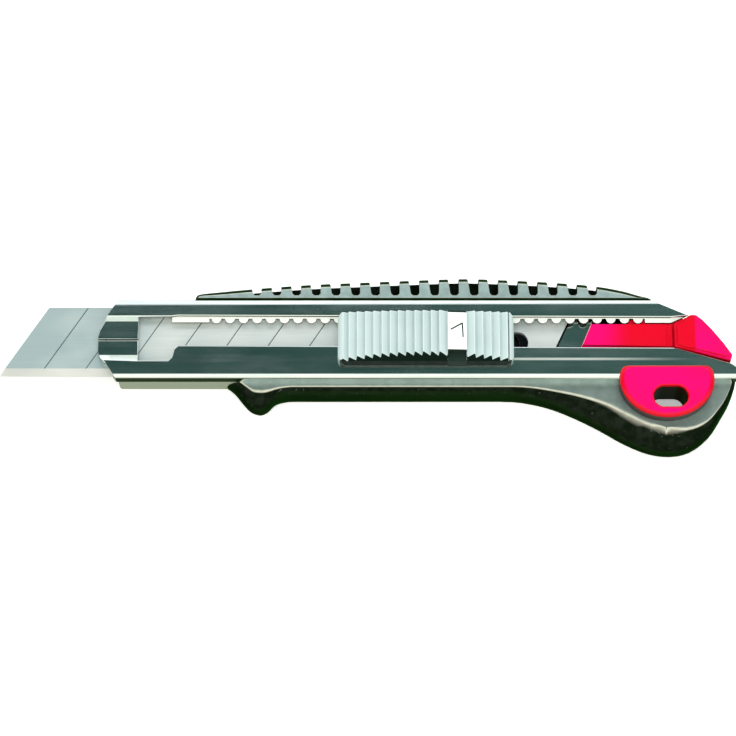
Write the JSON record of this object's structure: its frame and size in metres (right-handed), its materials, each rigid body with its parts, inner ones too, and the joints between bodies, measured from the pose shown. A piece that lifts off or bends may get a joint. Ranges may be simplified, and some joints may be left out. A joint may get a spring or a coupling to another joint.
{
  "type": "utility knife",
  "caption": "Snap-off utility knife with a cast grip, slotted steel sheath, ribbed thumb slider, spare-blade magazine, pull-out end plug and lanyard eyelet.",
  "frame": {"origin": "centre of the knife's bounding box at its back face, which rests on the ground", "axes": "+X runs from the blade's tip to the end plug, +Y from the finger side to the notched spine, +Z from the flat back to the thumb slider"},
  "size_m": [0.184, 0.0452, 0.018],
  "materials": {
    "casting": "satin gunmetal die-casting",
    "sheath": "polished along its length",
    "housing": "satin",
    "fasteners": "plain",
    "tray": "moulded",
    "spring_steel": "plain",
    "blade": "satin ground",
    "red_plastic": "glossy",
    "slider": "satin silver-grey",
    "inlay": "smooth"
  },
  "bodies": {
    "grip": {"grip_casting": "casting", "nose_housing": "housing", "blade_sheath": "sheath", "sheath_rivets": "fasteners", "magazine_tray": "tray", "tray_screws": "fasteners", "lift_spring": "spring_steel", "blade_lifter": "spring_steel", "spare_blade_1": "blade", "spare_blade_2": "blade", "spare_blade_3": "blade", "lanyard_eyelet": "red_plastic", "eyelet_back_ring": "red_plastic"},
    "slider": {"slider_cap": "slider", "slider_inlay": "inlay", "slider_carriage": "spring_steel", "blade_stud": "fasteners", "detent_spring": "spring_steel", "slider_rivets": "fasteners", "working_blade": "blade"},
    "plug": {"end_plug": "red_plastic", "plug_latch": "spring_steel"}
  },
  "joints": [
    {"name": "blade_slide", "type": "slide", "parent": "grip", "child": "slider", "axis": [-1, 0, 0], "range_m": [-0.0272, 0.034]},
    {"name": "plug_slide", "type": "slide", "parent": "grip", "child": "plug", "axis": [1, 0, 0], "range_m": [0, 0.03]}
  ]
}
